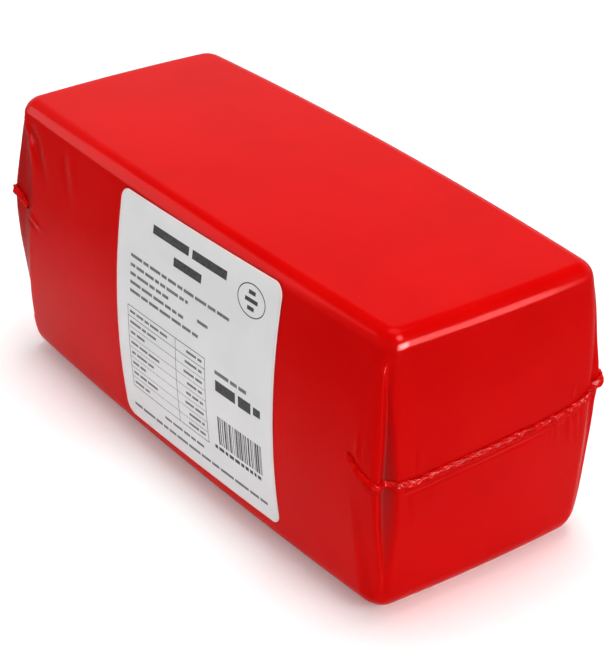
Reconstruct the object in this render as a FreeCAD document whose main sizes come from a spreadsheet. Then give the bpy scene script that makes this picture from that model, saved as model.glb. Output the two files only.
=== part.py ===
import FreeCAD, Part
import os
import Sketcher

# A bar of edam cheese in tight red film, lying on its flat long side.
# X runs along the bar, Z up, origin at the middle of the face it rests on.
# The cheese and its shrunk film are one closed solid: a box whose sides and
# ends swell out, with a welded seal bead across each end and a folded film
# ear at each upright edge.  A paper label lies on the -Y side.

SIZES = (
    ("bar_length", 244.8, "over the middles of the two swollen ends"),
    ("bar_width", 110.0, "over the widest part of the two swollen sides"),
    ("bar_height", 113.2, "from the flat base to the middle of the top"),
    ("side_upright_radius", 282.0, "curve of a side from base to top"),
    ("side_long_radius", 2153.0, "curve of a side from end to end"),
    ("side_widest_x", -8.0, "where along the bar the sides are widest"),
    ("side_widest_z", 53.4, "height at which the sides are widest"),
    ("end_radius", 700.0, "curve of an end, both ways"),
    ("end_furthest_z", 71.4, "height at which the ends stand out most"),
    ("top_radius", 8000.0, "slight crown of the top"),
    ("upright_edge_radius", 9.3, "rounding of the four upright edges"),
    ("top_edge_radius", 5.9, "rounding round the top"),
    ("base_edge_radius", 6.8, "rounding round the base"),
    ("ear_crest_inset", 3.4, "crest of an ear, back from the end's furthest point"),
    ("ear_crest_half_width", 51.0, "crest of an ear, out from the middle plane"),
    ("ear_reach", 8.4, "flat of the ear along the side face, back from its crest"),
    ("ear_spread", 0.4, "how far out that flat has drifted where it meets the side"),
    ("ear_brow", 1.7, "second crease of the ear, forward of its crest"),
    ("ear_brow_drop", 1.7, "second crease, in from the crest"),
    ("ear_fold", 0.7, "bottom of the fold behind the end, forward of the crest"),
    ("ear_fold_drop", 5.0, "bottom of that fold, in from the crest"),
    ("ear_root", 7.0, "root bedded in the bar, back from the crest and in from it"),
    ("ear_top_z", 99.0, "upper point of an ear"),
    ("ear_top_inset", 4.0, "upper point, back from the end's furthest point"),
    ("ear_top_half_width", 43.8, "upper point, out from the middle plane"),
    ("ear_low_z", 19.0, "lower point of an ear"),
    ("ear_low_inset", 5.5, "lower point, back from the end's furthest point"),
    ("ear_low_half_width", 45.2, "lower point, out from the middle plane"),
    ("ear_point_scale", 0.08, "size of an ear at its points, against its middle"),
    ("bead_radius", 1.6, "seal bead"),
    ("bead_rise", 0.2, "middle of the bead above the end face"),
    ("bead_corner_inset", 0.9, "bead at the rounding, back from the end's middle"),
    ("bead_corner_half_width", 44.5, "bead where the end face starts to round"),
    ("bead_turn_inset", 1.4, "bead half round the upright edge, from the middle"),
    ("bead_turn_half_width", 48.4, "bead half round the upright edge"),
    ("bead_knob_inset", 3.5, "bead where it crosses the ear's crest"),
    ("bead_knob_half_width", 51.2, "bead where it crosses the ear's crest"),
    ("bead_tail_inset", 14.1, "free end of the bead on the side face"),
    ("bead_tail_half_width", 52.4, "free end of the bead on the side face"),
    ("near_seal_z", 58.5, "seal at the +X end, at the middle of that end"),
    ("near_seal_slope", 3.3, "degrees that it rises towards +Y"),
    ("near_tail_climb", 24.0, "degrees that its tails climb along the sides"),
    ("far_seal_z", 71.0, "seal at the -X end, at the middle of that end"),
    ("far_seal_slope", -1.2, "degrees that it rises towards +Y"),
    ("far_tail_climb", -17.0, "degrees that its tails climb along the sides"),
    ("label_width", 99.6, "label along the bar"),
    ("label_height", 94.6, "label up the side"),
    ("label_corner_radius", 4.6, "label corners"),
    ("label_thickness", 0.25, "label paper"),
    ("label_x", 16.0, "middle of the label along the bar"),
    ("label_z", 59.4, "height of the middle of the label"),
    ("label_turn", 0.9, "degrees that the label is stuck on out of level"),
    ("label_cut_depth", 16.0, "depth of the block the label is cut from"),
)

# Corners of a level cut through an ear, as steps from its crest: a size along the
# bar with its sign, then a size out from the bar with its sign.
EAR_CORNERS = (
    ("ear_reach", -1, "ear_spread", 1),
    ("ear_reach", 0, "ear_spread", 0),
    ("ear_brow", 1, "ear_brow_drop", -1),
    ("ear_fold", 1, "ear_fold_drop", -1),
    ("ear_root", -1, "ear_root", -1),
)
BEAD_STATIONS = ("tail", "knob", "turn", "corner")


def make_sheet(doc):
    """Put every driving dimension in a spreadsheet cell with its own alias."""
    sheet = doc.addObject("Spreadsheet::Sheet", "Sizes")
    for row, (alias, value, meaning) in enumerate(SIZES, start=1):
        sheet.set(f"A{row}", alias)
        sheet.set(f"B{row}", str(value))
        sheet.set(f"C{row}", meaning)
        sheet.setAlias(f"B{row}", alias)
    doc.recompute()
    return sheet


def bind(thing, **expressions):
    """Bind properties to expressions; a double underscore stands for a dot."""
    for path, expression in expressions.items():
        thing.setExpression(path.replace("__", "."), expression)


def plane(body, role):
    """One of the body's own origin planes."""
    return next(item for item in body.Origin.OriginFeatures if item.Role == role)


def new_sketch(body, name, role, offset):
    """A sketch on an origin plane, moved by an offset placement expression."""
    sketch = body.newObject("Sketcher::SketchObject", name)
    sketch.AttachmentSupport = [(plane(body, role), "")]
    sketch.MapMode = "FlatFace"
    sketch.setExpression("AttachmentOffset", offset)
    return sketch


def draw_chain(sketch, points, closed):
    """Straight lines from point to point, each point held by two bound distances.

    points is a list of (x expression, y expression, rough x, rough y); the rough
    place only sets where the line is drawn before the sketch is solved.
    """
    rough = [FreeCAD.Vector(point[2], point[3], 0) for point in points]
    count = len(points) if closed else len(points) - 1
    for index in range(count):
        end = rough[(index + 1) % len(points)]
        sketch.addGeometry(Part.LineSegment(rough[index], end), False)
    for index in range(1, count):
        sketch.addConstraint(Sketcher.Constraint("Coincident", index - 1, 2, index, 1))
    if closed:
        sketch.addConstraint(Sketcher.Constraint("Coincident", count - 1, 2, 0, 1))
    for index, (across, up, rough_x, rough_y) in enumerate(points):
        line, end = (index, 1) if index < count else (count - 1, 2)
        for kind, value, expression in (("X", rough_x, across), ("Y", rough_y, up)):
            number = sketch.addConstraint(
                Sketcher.Constraint("Distance" + kind, -1, 1, line, end, value)
            )
            name = f"point{index}_{kind.lower()}"
            sketch.renameConstraint(number, name)
            sketch.setExpression("Constraints." + name, expression)


def value(sheet, alias):
    """The number in a sheet cell."""
    return float(sheet.get(alias))


def swollen_block(doc):
    """The bar before its edges are rounded.

    Each side is the outside of a very large ring: it curves gently from end to
    end and more from base to top.  The ends and the top are parts of spheres.
    """
    blank = doc.addObject("Part::Box", "Blank")
    bind(
        blank,
        Length="Sizes.bar_length * 1.1",
        Width="Sizes.bar_width * 1.1",
        Height="Sizes.bar_height * 1.1",
        Placement__Base__x="-Sizes.bar_length * 0.55",
        Placement__Base__y="-Sizes.bar_width * 0.55",
    )
    shapes = [blank]
    for name, side in (("LabelSide", -1), ("BackSide", 1)):
        ring = doc.addObject("Part::Torus", name)
        bind(
            ring,
            Radius1="Sizes.side_long_radius - Sizes.side_upright_radius",
            Radius2="Sizes.side_upright_radius",
            Placement__Base__x="Sizes.side_widest_x",
            Placement__Base__y=f"{side} * (Sizes.bar_width / 2 - Sizes.side_long_radius)",
            Placement__Base__z="Sizes.side_widest_z",
        )
        shapes.append(ring)
    for name, end in (("NearEnd", 1), ("FarEnd", -1)):
        ball = doc.addObject("Part::Sphere", name)
        bind(
            ball,
            Radius="Sizes.end_radius",
            Placement__Base__x=f"{end} * (Sizes.bar_length / 2 - Sizes.end_radius)",
            Placement__Base__z="Sizes.end_furthest_z",
        )
        shapes.append(ball)
    crown = doc.addObject("Part::Sphere", "TopCrown")
    bind(
        crown,
        Radius="Sizes.top_radius",
        Placement__Base__z="Sizes.bar_height - Sizes.top_radius",
    )
    shapes.append(crown)
    block = doc.addObject("Part::MultiCommon", "SwollenBlock")
    block.Shapes = shapes
    doc.recompute()
    return block


def edge_names(shape, wanted):
    """Names of the edges whose bounding box passes the test."""
    return [
        f"Edge{number}"
        for number, edge in enumerate(shape.Edges, start=1)
        if wanted(edge.BoundBox)
    ]


def round_edges(doc, body, name, wanted, radius):
    """Round the chosen edges of the body as it is so far."""
    before = body.Tip
    fillet = body.newObject("PartDesign::Fillet", name)
    fillet.Base = (before, edge_names(before.Shape, wanted))
    fillet.setExpression("Radius", radius)
    doc.recompute()
    return fillet


def ear_section(sheet, body, name, end, side, height, inset, half_width, scale):
    """One level cut through an ear: flat, crest, second crease, fold and root."""
    level = f"placement(vector(0; 0; {height}); rotation(0; 0; 0))"
    sketch = new_sketch(body, name, "XY_Plane", level)
    crest_x = f"{end} * (Sizes.bar_length / 2 - {inset})"
    crest_y = f"{side} * {half_width}"
    crest_out = value(sheet, "ear_crest_half_width")
    crest_along = value(sheet, "bar_length") / 2 - value(sheet, "ear_crest_inset")
    points = []
    for along_name, along_sign, out_name, out_sign in EAR_CORNERS:
        along = along_sign * value(sheet, along_name)
        out = out_sign * value(sheet, out_name)
        points.append((
            f"{crest_x} + {end * along_sign} * {scale} * Sizes.{along_name}",
            f"{crest_y} + {side * out_sign} * {scale} * Sizes.{out_name}",
            end * (crest_along + along),
            side * (crest_out + out),
        ))
    draw_chain(sketch, points, closed=True)
    return sketch


def add_ear(doc, sheet, body, end_name, end, side_name, side):
    """A folded film ear: two long triangles that meet at the seal."""
    name = f"{end_name}{side_name}Ear"
    seal_height = (
        f"Sizes.{end_name.lower()}_seal_z"
        f" + {side} * Sizes.bar_width / 2 * tan(Sizes.{end_name.lower()}_seal_slope * 1 deg)"
    )
    levels = (
        ("Top", "Sizes.ear_top_z", "ear_top", "Sizes.ear_point_scale"),
        ("Seal", seal_height, "ear_crest", "1"),
        ("Low", "Sizes.ear_low_z", "ear_low", "Sizes.ear_point_scale"),
    )
    sections = [
        ear_section(
            sheet, body, name + level, end, side, height,
            f"Sizes.{place}_inset", f"Sizes.{place}_half_width", scale,
        )
        for level, height, place, scale in levels
    ]
    doc.recompute()
    ear = body.newObject("PartDesign::AdditiveLoft", name)
    ear.Profile = sections[0]
    ear.Sections = sections[1:]
    ear.Ruled = True
    doc.recompute()
    return ear


def add_bead(doc, sheet, body, end_name, end):
    """The welded bead: across the end, round both upright edges, along both sides."""
    key = end_name.lower()
    path = new_sketch(
        body,
        f"{end_name}BeadPath",
        "XY_Plane",
        f"placement(vector({end} * Sizes.bar_length / 2; 0; Sizes.{key}_seal_z); "
        f"rotation(vector(1; 0; 0); Sizes.{key}_seal_slope) * "
        f"rotation(vector(0; 1; 0); {end} * Sizes.{key}_tail_climb))",
    )
    points = []
    for side in (-1, 1):
        half = [
            (
                f"-{end} * Sizes.bead_{station}_inset",
                f"{side} * Sizes.bead_{station}_half_width",
                -end * value(sheet, f"bead_{station}_inset"),
                side * value(sheet, f"bead_{station}_half_width"),
            )
            for station in BEAD_STATIONS
        ]
        points += half if side < 0 else half[::-1]
    middle = (f"{end} * Sizes.bead_rise", "0", end * value(sheet, "bead_rise"), 0.0)
    points.insert(len(BEAD_STATIONS), middle)
    draw_chain(path, points, closed=False)
    doc.recompute()
    ring = body.newObject("Sketcher::SketchObject", f"{end_name}BeadRing")
    ring.AttachmentSupport = [(path, "Edge1")]
    ring.MapMode = "NormalToEdge"
    ring.MapPathParameter = 0.0
    radius = value(sheet, "bead_radius")
    ring.addGeometry(Part.Circle(FreeCAD.Vector(0, 0, 0), FreeCAD.Vector(0, 0, 1), radius), False)
    ring.addConstraint(Sketcher.Constraint("Coincident", 0, 3, -1, 1))
    number = ring.addConstraint(Sketcher.Constraint("Radius", 0, radius))
    ring.renameConstraint(number, "bead")
    ring.setExpression("Constraints.bead", "Sizes.bead_radius")
    doc.recompute()
    bead = body.newObject("PartDesign::AdditivePipe", f"{end_name}Bead")
    bead.Profile = ring
    bead.Spine = (path, [f"Edge{number}" for number in range(1, len(points))])
    bead.Transition = "Round corner"
    doc.recompute()
    return bead


def make_wrapped_bar(doc, sheet):
    """The whole shut pack: rounded bar, four ears and two seal beads, one solid."""
    block = swollen_block(doc)
    body = doc.addObject("PartDesign::Body", "WrappedBar")
    body.Label = "wrapped_bar"
    body.BaseFeature = block
    doc.recompute()
    tall = value(sheet, "bar_height") / 2
    top = value(sheet, "bar_height") - 5
    round_edges(doc, body, "UprightEdges", lambda box: box.ZLength > tall, "Sizes.upright_edge_radius")
    round_edges(doc, body, "TopEdges", lambda box: box.ZMin > top, "Sizes.top_edge_radius")
    round_edges(doc, body, "BaseEdges", lambda box: box.ZMax < 0.01, "Sizes.base_edge_radius")
    for end_name, end in (("Near", 1), ("Far", -1)):
        for side_name, side in (("Label", -1), ("Back", 1)):
            add_ear(doc, sheet, body, end_name, end, side_name, side)
        add_bead(doc, sheet, body, end_name, end)
    return body


def make_label(doc):
    """The paper label: a rounded oblong cut from a thin skin over the -Y side."""
    blank = doc.addObject("PartDesign::Body", "LabelBlank")
    oblong = blank.newObject("PartDesign::AdditiveBox", "LabelOblong")
    bind(
        oblong,
        Length="Sizes.label_width",
        Width="Sizes.label_cut_depth",
        Height="Sizes.label_height",
    )
    doc.recompute()
    round_edges(
        doc, blank, "LabelCorners",
        lambda box: box.XLength < 0.01 and box.ZLength < 0.01,
        "Sizes.label_corner_radius",
    )
    blank.setExpression(
        "Placement",
        "placement(vector(Sizes.label_x; -Sizes.bar_width / 2 - Sizes.label_cut_depth / 4;"
        " Sizes.label_z); rotation(vector(0; 1; 0); -Sizes.label_turn))"
        " * placement(vector(-Sizes.label_width / 2; 0; -Sizes.label_height / 2);"
        " rotation(0; 0; 0))",
    )
    skin = doc.addObject("Part::Torus", "LabelSkin")
    bind(
        skin,
        Radius1="Sizes.side_long_radius - Sizes.side_upright_radius",
        Radius2="Sizes.side_upright_radius + Sizes.label_thickness",
        Placement__Base__x="Sizes.side_widest_x",
        Placement__Base__y="Sizes.side_long_radius - Sizes.bar_width / 2",
        Placement__Base__z="Sizes.side_widest_z",
    )
    piece = doc.addObject("Part::MultiCommon", "LabelPiece")
    piece.Shapes = [blank, skin]
    label = doc.addObject("Part::Cut", "Label")
    label.Base = piece
    label.Tool = doc.getObject("LabelSide")
    label.Label = "label"
    doc.recompute()
    return label


def check(doc, parts):
    """Stop if anything in the document failed or a sub-part isn't a good solid."""
    for item in doc.Objects:
        if "Invalid" in item.State or "Error" in item.State:
            raise RuntimeError(f"{item.Name} failed: {item.State}")
    for part in parts:
        shape = part.Shape
        if shape.isNull() or not shape.isValid() or len(shape.Solids) != 1:
            raise RuntimeError(f"{part.Label} is not one valid solid")
        box = shape.optimalBoundingBox(False, False)
        print(
            f"{part.Label}: {shape.Volume / 1e6:.4f} litres, "
            f"x {box.XMin:.2f} to {box.XMax:.2f}, y {box.YMin:.2f} to {box.YMax:.2f}, "
            f"z {box.ZMin:.2f} to {box.ZMax:.2f}, {len(shape.Faces)} faces"
        )


def main():
    doc = FreeCAD.newDocument("WrappedCheeseBar")
    sheet = make_sheet(doc)
    parts = [make_wrapped_bar(doc, sheet), make_label(doc)]
    check(doc, parts)
    os.makedirs("parts", exist_ok=True)
    for part in parts:
        part.Shape.exportStep(os.path.join("parts", part.Label + ".step"))


main()
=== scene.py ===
# %% [markdown]
# # A bar of edam in red film
#
# The object is a three kilogram slicing bar of edam, shrunk into one bag of glossy
# red film.  The film is sealed across both ends, where each seal has drawn up into a
# crinkled bead, and the spare film stands at the four upright edges as folded ears.
# A pale paper label sits on one long side.
#
# The imported CAD model comes first, as the fixed frame.  Its box is kept, and the
# bar's height is read from it.

# %% Load the frame
import math

import bpy
import numpy as np
from mathutils import Matrix, Vector


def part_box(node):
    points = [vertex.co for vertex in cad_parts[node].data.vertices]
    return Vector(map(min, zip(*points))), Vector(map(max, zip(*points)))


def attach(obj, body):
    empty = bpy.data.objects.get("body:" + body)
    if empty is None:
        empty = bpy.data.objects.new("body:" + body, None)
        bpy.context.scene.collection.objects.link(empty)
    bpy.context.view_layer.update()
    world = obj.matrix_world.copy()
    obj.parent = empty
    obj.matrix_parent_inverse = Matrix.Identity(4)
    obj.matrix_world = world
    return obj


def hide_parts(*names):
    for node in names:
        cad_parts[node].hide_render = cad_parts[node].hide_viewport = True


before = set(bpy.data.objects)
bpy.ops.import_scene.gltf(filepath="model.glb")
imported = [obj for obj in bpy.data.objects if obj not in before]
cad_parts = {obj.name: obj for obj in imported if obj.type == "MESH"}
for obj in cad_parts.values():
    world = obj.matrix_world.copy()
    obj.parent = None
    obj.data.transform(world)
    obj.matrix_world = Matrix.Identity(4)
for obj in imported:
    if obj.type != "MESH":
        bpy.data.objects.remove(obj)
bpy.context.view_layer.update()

# %% [markdown]
# ## The camera
#
# A long lens some 80 cm away looks down on the bar from beyond one corner.  The
# camera is set by where it is, what it looks at and a slight roll, which is easier to
# read than three angles.

# %% Place the camera
CAMERA_AT = Vector((0.55219, -0.39361, 0.43012))
LOOKS_AT = Vector((0.02091, -0.00720, 0.05661))
ROLL_DEGREES = 0.386
LENS_MM, SENSOR_MM = 109.87, 36.0


def aim(thing, at, towards, roll_degrees=0.0):
    """Put a camera or lamp at a point, looking down its own -Z towards another."""
    look = (towards - at).to_track_quat("-Z", "Y").to_matrix().to_4x4()
    roll = Matrix.Rotation(math.radians(roll_degrees), 4, "Z")
    thing.matrix_world = Matrix.Translation(at) @ look @ roll


def link(thing):
    """Put a new object into the scene."""
    bpy.context.scene.collection.objects.link(thing)
    return thing


camera = link(bpy.data.objects.new("camera", bpy.data.cameras.new("camera")))
camera.data.lens = LENS_MM
camera.data.sensor_width = SENSOR_MM
camera.data.clip_start = 0.01
aim(camera, CAMERA_AT, LOOKS_AT, ROLL_DEGREES)
bpy.context.scene.camera = camera
print("camera distance (m):", round((CAMERA_AT - LOOKS_AT).length, 3))

# %% [markdown]
# ## The shape of the bar
#
# A block of cheese pressed in a mould and packed under vacuum is nearly a box, but
# no face of it is flat.  The sides swell out most near the middle, the ends swell a
# little, and the film rounds every edge.  A box with a Bevel modifier would leave the
# faces flat and the reflections dead, so each point of a plain box is moved by
# formulas instead: first the edges are rounded, then the faces are swollen.
#
# The formulas work in millimetres, because a maker thinks of this bar that way.

# %% Measures of the bar, in millimetres
MM = 0.001
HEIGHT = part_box("wrapped_bar")[1].z / MM
HALF_WIDTH, HALF_LENGTH = 55.0, 122.4
FLAT_HALF_WIDTH = 50.0                  # half the width of the plain box before it swells
TOP_RADIUS, BASE_RADIUS = 5.9, 9.5
UPRIGHT_RADIUS = 9.3                    # behind the ears, where the film swells out most
CORNER_RADIUS = 8.0                     # the same edges close to the top and the base
CORNER_LOW, EASE_LOW = 8.0, 26.0        # the tight corner's height, and the ease above it
CORNER_HIGH, EASE_HIGH = 9.0, 24.0      # the same, down from the top
WIDEST_X, WIDEST_Z = -8.0, 53.4
SIDE_LONG_RADIUS, SIDE_UPRIGHT_RADIUS = 2153.0, 282.0
END_RADIUS, END_FURTHEST_Z = 700.0, 71.4
CROWN_RADIUS = 8000.0
FOOT_HEIGHT, FOOT_DRAW = 14.0, 0.009    # below this height the side's foot draws in
QUARTER = math.pi / 2
NOT_ZERO = 1e-9                         # keeps a length that is divided by above zero
print("height of the bar (mm):", round(HEIGHT, 2))


# %% How far the faces swell
def half_width(x, z):
    """Half the width at a place: the most there is, less shallow parabolas.

    The last one draws the foot of the side in a little where it meets the base.
    """
    along = (x - WIDEST_X) ** 2 / (2 * SIDE_LONG_RADIUS)
    upright = (z - WIDEST_Z) ** 2 / (2 * SIDE_UPRIGHT_RADIUS)
    foot = (FOOT_HEIGHT - z).clip(0) ** 2 * FOOT_DRAW
    return HALF_WIDTH - along - upright - foot


def half_length(y, z):
    """Half the length at a place: the most there is, less a shallow dome."""
    return HALF_LENGTH - (y**2 + (z - END_FURTHEST_Z) ** 2) / (2 * END_RADIUS)


def top_height(x, y):
    """Height of the top: the middle, less a very shallow dome."""
    return HEIGHT - (x**2 + y**2) / (2 * CROWN_RADIUS)


def upright_radius(z):
    """Radius of the upright edges: eased from the tight corners to the wide middle."""
    above = (z - CORNER_LOW) / EASE_LOW
    below = (HEIGHT - CORNER_HIGH - z) / EASE_HIGH
    share = np.clip(np.minimum(above, below), 0, 1)
    return CORNER_RADIUS + (UPRIGHT_RADIUS - CORNER_RADIUS) * share**2 * (3 - 2 * share)


levels = np.array([5.0, WIDEST_Z, HEIGHT - 5.0])
print("half width by height (mm):", half_width(0.0, levels).round(1))
print("upright radius by height (mm):", upright_radius(levels).round(1))


# %% From a plain box to the rounded, swollen bar
def rounded_bar(p):
    """Points on a plain box become points on the rounded, swollen bar.

    Near the top and base edges a point slides round a quarter circle.  Near an
    upright edge it is pushed to one radius from the edge's own axis.  Then x, y and z
    are stretched by how far each face swells there.
    """
    px, py, pz = p.T
    inward = np.minimum(HALF_LENGTH - abs(px), FLAT_HALF_WIDTH - abs(py)).clip(0)
    depth, z = inward.copy(), pz.copy()
    for radius, below, base, up in (
        (TOP_RADIUS, HEIGHT - pz, HEIGHT, 1),
        (BASE_RADIUS, pz, 0.0, -1),
    ):
        a, b = (radius - inward).clip(0), (radius - below).clip(0)
        far = np.maximum(np.hypot(a, b), NOT_ZERO)
        depth = np.where((a > 0) & (b > 0), radius * (1 - a / far), depth)
        z = np.where(b > 0, base - up * radius + up * radius * b / far, z)
    x = px * (HALF_LENGTH - depth) / (HALF_LENGTH - inward)
    y = py * (FLAT_HALF_WIDTH - depth) / (FLAT_HALF_WIDTH - inward)
    r = (upright_radius(z) - depth).clip(0)
    reach_x, reach_y = HALF_LENGTH - depth - r, FLAT_HALF_WIDTH - depth - r
    axis_x, axis_y = np.clip(x, -reach_x, reach_x), np.clip(y, -reach_y, reach_y)
    far = np.maximum(np.hypot(x - axis_x, y - axis_y), NOT_ZERO)
    x = np.where(r > 0, axis_x + r * (x - axis_x) / far, x)
    y = np.where(r > 0, axis_y + r * (y - axis_y) / far, y)
    width = half_width(x, z) / FLAT_HALF_WIDTH
    x = x * half_length(y * width, z) / HALF_LENGTH
    y = y * half_width(x, z) / FLAT_HALF_WIDTH
    return np.stack([x, y, z * top_height(x, y) / HEIGHT], axis=1)


box_corner = np.array([[HALF_LENGTH, -FLAT_HALF_WIDTH, HEIGHT]])
print("a top corner of the bar (mm):", rounded_bar(box_corner)[0].round(1))

# %% [markdown]
# ## Unrolling the film round an upright edge
#
# Folds in film are easiest to draw on the film laid flat.  Round each end, `w` is the
# distance along the film from the middle of the end face, round the upright edge and
# on along the side, and z is the height.  On the plain box the same place has a
# coordinate `t`: zero on the sharp edge, positive on the end and negative on the side.

# %% From film distance to box place and back
EDGE_INSET = 10.0          # the bar's width at an upright edge is read this far in


def edge_axis(z, end):
    """Where the round of an upright edge has its axis, and its radius."""
    z = np.asarray(z, float)
    radius = upright_radius(z)
    across = half_width(end * (HALF_LENGTH - EDGE_INSET), z) - radius
    return half_length(across, z) - radius, across, radius


def box_place(w, z, end):
    """t for a film distance w: straight on the faces, a tangent round the edge."""
    _, across, radius = edge_axis(z, end)
    angle = (w - across) / radius
    on_end = radius * (1 - np.tan(np.clip(angle, 0, QUARTER / 2)))
    on_side = radius * (np.tan(np.clip(QUARTER - angle, 0, QUARTER / 2)) - 1)
    past = (angle - QUARTER).clip(0) * radius
    stretch = FLAT_HALF_WIDTH / (across + radius)
    before = (across - w).clip(0) * stretch
    return np.where(angle < QUARTER / 2, on_end + before, on_side - past)


def film_distance(t, z, end):
    """w for a box coordinate t: the inverse of box_place."""
    _, across, radius = edge_axis(z, end)
    on_end, on_side = np.clip(t, 0, radius), np.clip(-t, 0, radius)
    angle = np.where(
        t >= 0,
        np.arctan((radius - on_end) / radius),
        QUARTER - np.arctan((radius - on_side) / radius),
    )
    stretch = (across + radius) / FLAT_HALF_WIDTH
    before = (t - radius).clip(0) * stretch
    return across + angle * radius - before + (-t - radius).clip(0)


def plain_section(w, z, end):
    """Level section of the bar by distance w: its points, and the way out of it.

    It is the end face, a quarter circle and the side face, in that order.
    """
    along, across, radius = edge_axis(z, end)
    angle = np.clip((w - across) / radius, 0, QUARTER)
    x = along + radius * np.cos(angle) - (w - across - radius * QUARTER).clip(0)
    y = across + radius * np.sin(angle) - (across - w).clip(0)
    return np.stack([x, y], axis=-1), np.stack([np.cos(angle), np.sin(angle)], axis=-1)


probe = np.linspace(30.0, 75.0, 10)
there_and_back = film_distance(box_place(probe, 60.0, 1), 60.0, 1)
print("unrolling error (mm):", float(abs(there_and_back - probe).max()))

# %% [markdown]
# ## The ears
#
# Where the bag's corner has more film than the block needs, the spare film is
# pulled into a tent: it leaves the side face, comes to a crest, turns across a narrow
# facet and drops into a fold before it lies flat on the end face.  The tent is
# highest where the seal bead crosses it and dies away to a point above and below.
#
# It could be a separate folded strip, but real film has no join there.  So a level
# section through the corner is drawn as a chain of straight pieces between six
# creases, each crease has its own line up the edge, and the mesh columns follow those
# lines so that every crease stays sharp.

# %% The crease lines of an ear
CREASES = ("end", "fold", "brow", "crest", "edge", "side")
CREST, EDGE, SIDE = (CREASES.index(name) for name in ("crest", "edge", "side"))
# Each row: place between low point (-1), bead (0) and upper point (1), then the film
# distance w of each crease, then how far the fold, brow, crest and edge stand off the
# plain rounding.
NEAR_EAR = np.array([
    (-1.00, 42.6, 43.8, 44.6, 45.4, 46.4, 52.0, 0.0, 0.0, 0.0, 0.0),
    (-0.84, 42.1, 44.2, 45.3, 46.1, 47.0, 53.0, -0.4, 0.6, 0.6, 0.2),
    (-0.63, 41.3, 45.2, 46.6, 47.4, 48.4, 55.0, -1.1, 1.4, 1.4, 0.7),
    (-0.39, 41.0, 46.6, 48.0, 48.9, 50.3, 57.5, -1.7, 1.9, 1.9, 0.9),
    (-0.14, 41.4, 47.3, 48.7, 50.0, 53.1, 59.5, -2.1, 2.25, 2.25, 0.5),
    (0.00, 41.8, 46.9, 48.6, 50.4, 54.6, 60.0, -2.2, 2.3, 2.3, 0.45),
    (0.18, 42.5, 46.5, 48.2, 50.2, 54.0, 60.0, -2.1, 2.2, 2.2, 0.5),
    (0.39, 43.1, 46.1, 47.8, 49.6, 51.8, 58.5, -1.8, 2.0, 2.0, 0.8),
    (0.57, 43.8, 46.0, 47.5, 48.9, 50.3, 57.0, -1.4, 1.7, 1.7, 0.9),
    (0.77, 44.0, 46.0, 47.1, 48.1, 49.0, 55.0, -0.8, 1.2, 1.2, 0.7),
    (0.91, 43.4, 45.5, 46.6, 47.5, 48.2, 53.0, -0.3, 0.6, 0.6, 0.4),
    (1.00, 42.6, 45.0, 46.1, 46.9, 47.7, 51.0, 0.0, 0.0, 0.0, 0.0),
])
FAR_EAR = np.array([
    (-1.00, 42.3, 44.4, 45.6, 46.3, 50.4, 54.5, 0.0, 0.0, 0.0, 0.0),
    (-0.83, 42.6, 45.3, 46.9, 47.7, 52.1, 56.5, -0.2, 0.35, 0.3, 0.0),
    (-0.60, 42.9, 46.0, 47.8, 49.0, 54.3, 59.7, -0.5, 0.8, 0.7, 0.0),
    (-0.36, 43.3, 46.6, 48.5, 50.2, 56.3, 62.5, -0.7, 1.4, 1.3, 0.0),
    (-0.13, 43.5, 46.9, 49.0, 50.5, 57.7, 65.0, -0.8, 2.0, 1.9, 0.0),
    (0.00, 43.5, 46.5, 48.5, 50.1, 58.3, 66.5, -0.8, 2.2, 2.1, 0.0),
    (0.20, 43.4, 45.6, 47.7, 49.9, 58.0, 66.0, -0.75, 1.75, 1.65, 0.0),
    (0.42, 43.1, 44.8, 46.8, 49.2, 56.6, 64.0, -0.6, 1.1, 1.0, 0.0),
    (0.60, 42.2, 44.1, 45.9, 47.8, 54.5, 61.2, -0.45, 0.65, 0.55, 0.0),
    (0.80, 40.9, 42.9, 44.7, 46.5, 52.0, 57.5, -0.25, 0.3, 0.25, 0.0),
    (0.93, 40.4, 42.0, 43.3, 45.4, 48.5, 51.5, -0.1, 0.15, 0.15, 0.0),
    (1.00, 40.2, 41.9, 43.2, 45.2, 47.4, 49.5, 0.0, 0.0, 0.0, 0.0),
])
print("rows of crease places:", len(NEAR_EAR), "near,", len(FAR_EAR), "far")

# %% The four ears
# By end and side: the heights of the low point, the bead and the upper point; the dip
# that hollows a far ear between its crest and its side crease; how much of the table's
# rise and fold the ear has; and how far its end crease is shifted.
RISE_PLACES = (-1.0, -0.5, -0.14, 0.0, 0.18, 0.4, 0.7, 1.0)
FULL, SLIM = (1.0,) * 8, (0.3, 0.15, 0.35, 0.7, 0.65, 0.4, 0.3, 0.3)
EARS = {
    (1, -1): dict(low=9.0, bead=60.0, top=104.0, dip=None, rise=FULL, fold=1.0, shift=0.0),
    (1, 1): dict(low=9.0, bead=64.5, top=104.0, dip=None, rise=SLIM, fold=0.2, shift=3.0),
    (-1, -1): dict(low=19.0, bead=72.5, top=106.0, dip=-0.7, rise=FULL, fold=1.0, shift=0.0),
    (-1, 1): dict(low=19.0, bead=70.0, top=105.0, dip=-0.4, rise=FULL, fold=1.0, shift=0.0),
}


def ear_place(z, ear):
    """Height as a place on the ear: -1 low point, 0 bead, 1 upper point."""
    return np.interp(z, (ear["low"], ear["bead"], ear["top"]), (-1.0, 0.0, 1.0))


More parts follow.
